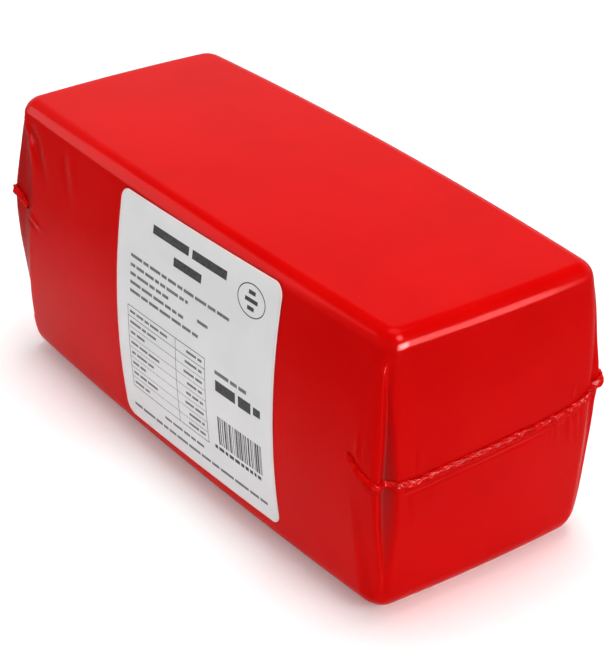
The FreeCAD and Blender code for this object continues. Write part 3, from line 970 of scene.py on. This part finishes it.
def make_bead(name, chain, end, seed):
    """A rope carried along a line on the film: an upright oval, crumpled, closed.

    At each ring, forward is along the rope, outward leads off the film and upward is
    square to both.
    """
    line, travel = resample(chain, ROPE_STEP)
    w, z, size = line.T
    centre = ease(on_film(w, z, end, ROPE_SINK), 3)
    raised = on_film(w, z, end, 2.0)
    forward = unit(np.gradient(centre, axis=0))
    upward = unit(np.cross(unit(raised - on_film(w, z, end)), forward))
    upward = upward * np.sign(upward[:, 2:])
    outward = unit(np.cross(upward, forward))
    outward = outward * np.sign(np.sum(outward * (raised - centre), 1))[:, None]
    angle = np.linspace(0, 2 * math.pi, ROPE_ROUND, endpoint=False)
    inner = np.clip(np.minimum(travel, travel[-1] - travel) / ROPE_END, 0, 1)
    taper = np.sqrt(np.clip(1 - (1 - inner) ** 2, 0, 1)) * size
    radius = taper[:, None] * (1 + crumple(travel[:, None], angle[None, :], seed))
    tall = (ROPE_TALL * radius * np.sin(angle))[..., None] * upward[:, None]
    proud = (ROPE_PROUD * radius * np.cos(angle))[..., None] * outward[:, None]
    rings = centre[:, None] + tall + proud
    closed = np.concatenate([rings, rings[:, :1]], axis=1).reshape(-1, 3)
    points, quads, _ = weld(closed, grid_quads((len(w), ROPE_ROUND + 1)))
    piece = make_piece(name, points, quads, bead_finish)
    print("its length (mm):", round(travel[-1], 1))


bead_finish = uneven_finish(
    "red_seal", 0.012, scales=(300.0, 1500.0, 0.35),
    colours=((0.46, 0.001, 0.0008), (0.62, 0.002, 0.0015)), gloss=(0.16, 0.32), relief=(0.6, 0.35),
)
make_bead("near_seal_bead", NEAR_BEAD, 1, 11)
make_bead("far_seal_bead", FAR_BEAD, -1, 12)

# %% [markdown]
# ## The label
#
# A self-adhesive paper label follows the side exactly, so it is worked out on the
# same surface: a grid in the label's own plane is laid on the side, raised by the
# paper's thickness and closed with a rim and a back.  A flat card pressed on with a
# modifier would cut into the swollen side or stand off it.

# %% From the label's plane to the side face
LABEL_WIDE, LABEL_TALL, LABEL_CORNER = 100.6, 96.0, 4.6
LABEL_X, LABEL_Z, LABEL_TURN = 16.4, 60.1, math.radians(0.9)
PAPER, PAPER_BACK = 0.16, -0.3      # the paper's face, and its back inside the film
LABEL_STEP, CORNER_ROWS = 2.0, 9
ROUND_START = HEIGHT - TOP_RADIUS - 0.2


def on_label(u, v, lift):
    """Label plane to side face: turn, then lay up the side and over its top round.

    Above the start of the rounding the height is read as a distance along the arc.
    """
    x = LABEL_X + u * math.cos(LABEL_TURN) - v * math.sin(LABEL_TURN)
    s = LABEL_Z + u * math.sin(LABEL_TURN) + v * math.cos(LABEL_TURN)
    straight, over = np.minimum(s, ROUND_START), (s - ROUND_START).clip(0)
    arc = over / TOP_RADIUS
    leaning = (straight - WIDEST_Z) / SIDE_UPRIGHT_RADIUS
    inward = TOP_RADIUS * (1 - np.cos(arc)) + over * leaning
    y = -(half_width(x, straight) - inward + lift * np.cos(arc))
    z = straight + TOP_RADIUS * np.sin(arc) + lift * (np.sin(arc) + leaning)
    return np.stack([x, y, z], axis=-1)


def rounded_grid():
    """A grid over a rounded rectangle: each row is drawn in to the corner's arc."""
    straight = LABEL_TALL / 2 - LABEL_CORNER
    corner = LABEL_TALL / 2 - LABEL_CORNER * (1 - np.cos(np.linspace(0, QUARTER, CORNER_ROWS)))
    middle = np.linspace(-straight, straight, int(LABEL_TALL / LABEL_STEP))
    rows = np.unique(np.concatenate([-corner, middle, corner]).round(6))
    over = (abs(rows) - straight).clip(0)
    half = LABEL_WIDE / 2 - LABEL_CORNER + np.sqrt((LABEL_CORNER**2 - over**2).clip(0))
    share = np.linspace(-1, 1, int(LABEL_WIDE / LABEL_STEP) + 1)
    return share[:, None] * half[None, :], np.broadcast_to(rows, (len(share), len(rows)))


def thin_sheet(u, v, low, high, start=0):
    """A closed sheet on the label plane: its face, its back and a rim of quads."""
    points = np.concatenate([on_label(u.ravel(), v.ravel(), lift) for lift in (high, low)])
    n = np.arange(u.size).reshape(u.shape)
    rim = np.concatenate([n[:-1, 0], n[-1, :-1], n[:0:-1, -1], n[0, :0:-1]])
    after = np.roll(rim, -1)
    quads = np.concatenate([
        grid_quads(u.shape),
        grid_quads(u.shape, True, u.size),
        np.stack([rim, rim + u.size, after + u.size, after], axis=1),
    ])
    return points, quads + start


print("middle of the label (mm):", on_label(np.zeros(1), np.zeros(1), PAPER)[0].round(1))

# %% The paper
paper_finish = uneven_finish(
    "label_paper", 0.3, scales=(40.0, 1400.0, 0.5),
    colours=((0.69, 0.69, 0.70), (0.73, 0.73, 0.735)), gloss=(0.34, 0.5), relief=(0.25, 0.05),
    gloss_by="Height",
)
paper_points, paper_quads, _ = weld(*thin_sheet(*rounded_grid(), PAPER_BACK, PAPER))
label = make_piece("label_sheet", paper_points, paper_quads, paper_finish)
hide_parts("label")

# %% [markdown]
# ## The label's edge
#
# The cut edge of the paper is lighter than the paper as a painted highlight, and pink as
# a painted reflection of the film beside it.  Just outside it a thin dark band of film
# red is painted shadow of the edge.  Both are too thin for the label's grid, so each is
# a narrow closed band that runs round the edge.

# %% Bands round the edge
BAND_PLACES, BAND_CUTS = 160, 12       # places round the corners, cuts between them
LEAST_CORNER = 0.3                     # no corner of a band is tighter


def label_border(name, inset, width, low, high, material):
    """A closed band round the label's edge, from inset to inset + width inside it.

    Its oblong section is carried round the rounded rectangle.  Each corner takes a
    quarter of the places, and every run from one place to the next is cut evenly, so
    that the band bends with the side.
    """
    turn = np.linspace(0, 2 * math.pi, BAND_PLACES, endpoint=False)
    share = np.linspace(0, 1, BAND_CUTS, endpoint=False)[:, None]
    outer = inset + width
    rings = []
    for away, lift in ((inset, low), (inset, high), (outer, high), (outer, low), (inset, low)):
        corner = max(LABEL_CORNER - away, LEAST_CORNER)
        u = np.sign(np.cos(turn)) * (LABEL_WIDE / 2 - away - corner) + corner * np.cos(turn)
        v = np.sign(np.sin(turn)) * (LABEL_TALL / 2 - away - corner) + corner * np.sin(turn)
        u, v = u + share * (np.roll(u, -1) - u), v + share * (np.roll(v, -1) - v)
        ring = on_label(u.T.ravel(), v.T.ravel(), lift)
        rings.append(np.concatenate([ring, ring[:1]]))
    band = np.stack(rings, axis=1)
    points, quads, _ = weld(band.reshape(-1, 3), grid_quads(band.shape[:2], True))
    piece = make_piece(name, points, quads, material, smooth=False)


# painted highlight: the paper's edge is lighter than the paper, and pink as a painted reflection of
# the red film
edge_highlight_finish = uneven_finish(
    "label_edge_highlight", 0.3, scales=(200.0, 1400.0, 0.5),
    colours=((0.95, 0.60, 0.57), (1.0, 0.72, 0.69)), gloss=(0.24, 0.4), relief=(0.25, 0.05),
)
# painted shadow: a dark red band of film put round the label's edge where its shadow falls
gap_shadow_finish = uneven_finish(
    "label_gap_shadow", 0.02, scales=(200.0, 1400.0, 0.5),
    colours=((0.20, 0.0006, 0.0005), (0.30, 0.001, 0.0008)), gloss=(0.24, 0.4), relief=(0.25, 0.05),
)
label_border("label_edge_band", 0.0, 0.42, PAPER - 0.1, PAPER + 0.06, edge_highlight_finish)
label_border("label_gap_line", -0.5, 0.5, -0.2, 0.05, gap_shadow_finish)

# %% [markdown]
# ## What is printed on the label
#
# The print is generic: bars where lines of words would stand, a ruled table, an oval
# mark, a figure line and a stripe code.  Each is a thin sheet of ink on the paper.
# A word is one short bar, and the bars of one field are joined into one mesh.  The
# fine print covers the paper less fully than the bold, so its ink is greyer.

# %% Two inks, and bars of them
ink_finish, fine_ink_finish = (
    uneven_finish(
        name, 0.25, scales=(900.0, 4000.0, 0.4), colours=greys, gloss=(0.4, 0.6), relief=(0.2, 0.03)
    )
    for name, greys in (
        ("label_ink", ((0.018, 0.018, 0.02), (0.05, 0.05, 0.055))),
        ("label_fine_ink", ((0.10, 0.10, 0.105), (0.17, 0.17, 0.175))),
    )
)
INK, INK_ROOT = 0.035, -0.05       # the ink's face and back, from the paper's face
BAR_CUT = 6.0                      # a long bar is cut about this often


def ink_bars(name, bars, finish):
    """Many thin bars of ink as one mesh; each bar is (u0, v0, u1, v1, thickness).

    A bar is a strip of quads from one end to the other, cut so that it bends with the
    side.
    """
    points, quads, start = [], [], 0
    for u0, v0, u1, v1, thick in bars:
        length = math.hypot(u1 - u0, v1 - v0)
        share = np.linspace(0, 1, max(int(length / BAR_CUT), 1) + 1)[:, None]
        side = np.array([[-thick / 2, thick / 2]]) / length
        u = u0 + share * (u1 - u0) - side * (v1 - v0)
        v = v0 + share * (v1 - v0) + side * (u1 - u0)
        sheet, faces = thin_sheet(u, v, PAPER + INK_ROOT, PAPER + INK, start)
        points.append(sheet)
        quads.append(faces)
        start += len(sheet)
    piece = make_piece(name, np.concatenate(points), np.concatenate(quads), finish, smooth=False)
    print("its bars:", len(bars))


# %% Lines of words
PRINT_MIDDLE = 56.2        # print heights are measured from this height on the side
LEAST_WORD = 1.0           # no word starts closer than this to the end of its line


def field(x0, x1, z):
    """From places along the side to the label's own plane, measured from its middle."""
    return x0 - LABEL_X, x1 - LABEL_X, z + PRINT_MIDDLE - LABEL_Z


def words(x0, x1, z, thick, seed, mean, gap):
    """A line of print as short bars of chance lengths with even gaps."""
    u0, u1, v = field(x0, x1, z)
    chance = np.random.default_rng(seed)
    bars, at = [], u0
    while at < u1 - LEAST_WORD:
        length = min(mean * chance.uniform(0.5, 1.6), u1 - at)
        bars.append((at, v, at + length, v, thick))
        at += length + gap
    return bars


def print_rows(name, rows, finish):
    """One piece of print from rows of words."""
    ink_bars(name, [bar for row in rows for bar in words(*row)], finish)


# Each row: from, to, height, thickness, seed, mean length of a word, gap.
print_rows("print_headline", (
    (-10.9, 36.0, 43.4, 3.4, 1, 22.0, 2.2),
    (3.8, 21.5, 36.4, 3.4, 2, 30.0, 2.0),
), ink_finish)
print_rows("print_lines", (
    (-24.3, 39.7, 28.3, 1.25, 10, 5.0, 0.9),
    (-24.3, 14.4, 24.5, 1.25, 11, 5.0, 0.9),
    (-24.3, 1.8, 21.0, 1.25, 12, 5.0, 0.9),
    (-24.3, 11.9, 17.5, 1.25, 13, 5.0, 0.9),
    (-24.3, 21.5, 14.0, 1.25, 14, 5.0, 0.9),
    (20.7, 27.3, 20.1, 1.25, 16, 6.0, 0.9),
    (32.2, 51.4, 4.8, 1.5, 17, 6.0, 1.0),
    (-4.7, 21.7, -32.6, 1.15, 18, 5.0, 0.9),
    (-27.6, 60.6, -37.5, 1.25, 19, 5.5, 0.9),
), fine_ink_finish)
print_rows("print_figure", (
    (32.5, 54.0, -0.6, 4.4, 21, 9.0, 1.8),
    (55.5, 59.6, -0.4, 3.2, 22, 9.0, 1.8),
), ink_finish)

# %% The table
TABLE_LEFT, TABLE_RIGHT, TABLE_TOP, TABLE_BASE = -26.0, 25.9, 7.2, -28.4
TABLE_COLUMN, TABLE_ROWS, HEAVY_RULES = 6.8, 8, (0, 1, 8)
ENTRY_LENGTHS = (20.0, 14.0, 9.0, 16.0, 12.0, 7.0, 13.0, 8.0)
ENTRY_LEFT, ENTRY_STRETCH = TABLE_LEFT + 1.4, 1.3

table_bars = []
rules = np.linspace(TABLE_TOP, TABLE_BASE, TABLE_ROWS + 1)
for rule, z in enumerate(rules):
    u0, u1, v = field(TABLE_LEFT, TABLE_RIGHT, z)
    table_bars.append((u0, v, u1, v, 0.32 if rule in HEAVY_RULES else 0.2))
for x in (TABLE_LEFT, TABLE_COLUMN, TABLE_RIGHT):
    u, _, v0 = field(x, 0, TABLE_TOP)
    _, _, v1 = field(x, 0, TABLE_BASE)
    table_bars.append((u, v0, u, v1, 0.3))
for row, (z, reach) in enumerate(zip((rules[:-1] + rules[1:]) / 2, ENTRY_LENGTHS)):
    entry_right = ENTRY_LEFT + reach * ENTRY_STRETCH
    table_bars += words(ENTRY_LEFT, entry_right, z, 1.05, 30 + row, 5.0, 0.9)
    table_bars += words(14.0 - row % 3, 24.0, z, 1.05, 40 + row, 5.0, 0.9)
ink_bars("print_table", table_bars, fine_ink_finish)

# %% The oval
OVAL_X, OVAL_Z, OVAL_WIDE, OVAL_TALL, OVAL_CUTS = 51.0, 40.2, 7.8, 5.9, 40
u_middle, _, v_middle = field(OVAL_X, 0, OVAL_Z)
around = np.linspace(0, 2 * math.pi, OVAL_CUTS + 1)
oval_points = np.stack([
    u_middle + OVAL_WIDE * np.cos(around), v_middle + OVAL_TALL * np.sin(around)
], axis=1)
oval_bars = [(*here, *there, 0.42) for here, there in zip(oval_points[:-1], oval_points[1:])]
for rise, half in ((2.9, 1.9), (0.0, 3.6), (-2.9, 1.9)):
    u0, u1, v = field(OVAL_X - half, OVAL_X + half, OVAL_Z + rise)
    oval_bars.append((u0, v, u1, v, 1.5))
ink_bars("print_oval", oval_bars, ink_finish)

# %% The stripes
STRIPES_LEFT, STRIPES_RIGHT, STRIPES_TOP, STRIPES_BASE = 33.0, 59.6, -13.4, -25.6
stripe_chance = np.random.default_rng(7)
stripes, stripe_at = [], STRIPES_LEFT
while stripe_at < STRIPES_RIGHT:
    wide = stripe_chance.choice([0.3, 0.3, 0.55, 0.85])
    u, _, v0 = field(stripe_at + wide / 2, 0, STRIPES_TOP)
    _, _, v1 = field(stripe_at, 0, STRIPES_BASE)
    stripes.append((u, v0, u, v1, wide))
    stripe_at += wide + stripe_chance.choice([0.35, 0.5, 0.8])
stripes += words(30.0, STRIPES_RIGHT, -27.6, 1.5, 8, 2.0, 0.8)
ink_bars("print_stripes", stripes, ink_finish)

# %% [markdown]
# ## The floor
#
# The bar stands on plain white paper, which keeps its shadow.  The camera sees the
# paper a little lighter than it is, as a bright studio sweep.  The gloss sees it white
# only close to the bar: further out the paper's colour is darkened for the gloss alone,
# as painted shade, which gives the sides their deep red.  A floor that is only white
# would wash the film out.

# %% The paper floor
FLOOR_REACH = 2.5                          # metres
SWEEP_LIGHT = 0.09
BAR_FOOT = (0.122, 0.055, 0.0)             # the shade is measured out from the bar's foot
SHADE_STARTS, SHADE_FULL, SHADE_MOST = 0.04, 0.17, 0.65

floor_corners = [
    (x * FLOOR_REACH, y * FLOOR_REACH, 0) for x, y in ((-1, -1), (1, -1), (1, 1), (-1, 1))
]
floor_mesh = bpy.data.meshes.new("floor")
floor_mesh.from_pydata(floor_corners, [], [(0, 1, 2, 3)])
floor = link(bpy.data.objects.new("floor", floor_mesh))
floor_finish, floor_tree, floor_shader = new_material(
    "floor_paper", Roughness=0.9, Specular_IOR_Level=0.0
)
floor_uneven = add_unevenness(floor_tree, 3.0, 60.0, 0.3)
floor_rays = node(floor_tree, "ShaderNodeLightPath", (-900, 700)).outputs
out_from_bar = node(floor_tree, "ShaderNodeTexCoord", (-1500, 500)).outputs["Object"]
# how far outside the bar's foot a place is: the length of (|place| - foot), at least 0
for column, (operation, amount) in enumerate((
    ("ABSOLUTE", None), ("SUBTRACT", BAR_FOOT), ("MAXIMUM", (0.0, 0.0, 0.0)), ("LENGTH", None)
)):
    sum_node = node(
        floor_tree, "ShaderNodeVectorMath", (-1300 + 180 * column, 500), operation=operation
    )
    floor_tree.links.new(out_from_bar, sum_node.inputs[0])
    if amount:
        sum_node.inputs[1].default_value = amount
    out_from_bar = sum_node.outputs["Value" if operation == "LENGTH" else "Vector"]
# painted shade: for glossy rays alone the paper darkens with distance from the bar's foot
shade = node(
    floor_tree, "ShaderNodeMapRange", (-600, 500), Value=out_from_bar,
    From_Min=SHADE_STARTS, From_Max=SHADE_FULL, To_Max=SHADE_MOST,
)
gloss_shade = node(
    floor_tree, "ShaderNodeMix", (-400, 500), Factor=floor_rays["Is Glossy Ray"],
    A=0.0, B=shade.outputs["Result"],
)
darken = node(
    floor_tree, "ShaderNodeMix", (-200, 400), data_type="RGBA",
    Factor=gloss_shade.outputs["Result"], B=(0.0, 0.0, 0.0, 1),
    A=tint(floor_tree, floor_uneven["Mask"], (0.93, 0.93, 0.93), (0.95, 0.95, 0.95)),
)
sweep = node(
    floor_tree, "ShaderNodeMix", (-500, -500), Factor=floor_rays["Is Camera Ray"],
    A=0.0, B=SWEEP_LIGHT,
)
set_node(floor_tree, floor_shader, dict(
    Base_Color=darken.outputs["Result"], Emission_Color=(1, 1, 1, 1),
    Emission_Strength=sweep.outputs["Result"],
))
floor_mesh.materials.append(floor_finish)
print("floor reaches (m):", FLOOR_REACH, "each way")

# %% [markdown]
# ## The lamps
#
# Three broad soft lamps light the colours: one overhead for the top, one from the
# end's side, and a weak one that lifts the label's side.  Their reflections alone
# would not draw the bar's edges, so four cards are added that only the gloss sees.
# They make the lines of light along the edges and the spark on the near corner.

# %% Lamps and cards
def lamp(name, at, towards, wide, tall, watts, spread_degrees=180.0):
    """A rectangular soft lamp; a smaller spread keeps its light in a pool."""
    light = bpy.data.lights.new(name, "AREA")
    light.shape, light.size, light.size_y, light.energy = "RECTANGLE", wide, tall, watts
    light.spread = math.radians(spread_degrees)
    made = link(bpy.data.objects.new(name, light))
    aim(made, Vector(at), Vector(towards))
    return made


LAMPS_AIM, CARDS_AIM = (0, 0, 0.05), (0.05, 0, 0.1)
lamp("overhead", (-0.05, 0.1, 1.15), LAMPS_AIM, 0.6, 0.6, 4.3, 130.0)
lamp("end_side", (1.2, 0.25, 0.7), LAMPS_AIM, 0.7, 0.7, 1.85, 120.0)
lamp("label_side", (-0.2, -1.2, 0.7), LAMPS_AIM, 0.7, 0.7, 0.2, 120.0)
for name, at, wide, tall, watts in (
    ("card_long_edge", (-0.78, -0.56, 0.45), 0.5, 0.66, 6.6),
    ("card_end_edge", (0.80, 0.46, 0.22), 0.28, 0.42, 17.0),
    ("card_corner", (0.98, 0.0, 0.24), 0.74, 0.46, 270.0),
    ("card_top_corner", (0.61, -0.06, 0.86), 0.36, 0.36, 27.0),
):
    lamp(name, at, CARDS_AIM, wide, tall, watts).visible_diffuse = False

# %% [markdown]
# ## The world
#
# An even world fills the shadows.  The gloss sees pale walls up to about 35 degrees
# and a dim ceiling above them, so the flat top mirrors the walls, and the rounding
# beside it, which looks further up, stays deep red.  The camera sees plain white.

# %% The studio around the bar
WORLD_LIGHT, WALLS, CEILING = 0.66, 1.16, 0.12
WALLS_END, CEILING_STARTS = 0.54, 0.66     # heights on a globe of radius one
world = bpy.data.worlds.new("studio")
bpy.context.scene.world = world
world.use_nodes = True
sky = world.node_tree
way = node(sky, "ShaderNodeTexCoord", (-900, 200))
way_up = node(sky, "ShaderNodeSeparateXYZ", (-700, 200), Vector=way.outputs["Generated"])
room = node(
    sky, "ShaderNodeMapRange", (-500, 200), Value=way_up.outputs["Z"],
    From_Min=WALLS_END, From_Max=CEILING_STARTS, To_Min=WALLS, To_Max=CEILING,
)
rays = node(sky, "ShaderNodeLightPath", (-500, -100)).outputs
for_gloss = node(
    sky, "ShaderNodeMix", (-250, 100), Factor=rays["Is Glossy Ray"],
    A=WORLD_LIGHT, B=room.outputs["Result"],
)
for_camera = node(
    sky, "ShaderNodeMix", (-50, 100), Factor=rays["Is Camera Ray"],
    A=for_gloss.outputs["Result"], B=1.0,
)
set_node(sky, sky.nodes["Background"], dict(
    Color=(1, 1, 1, 1), Strength=for_camera.outputs["Result"]
))
bpy.context.scene.view_settings.view_transform = "Standard"
print("world light:", WORLD_LIGHT, "walls:", WALLS, "ceiling:", CEILING)
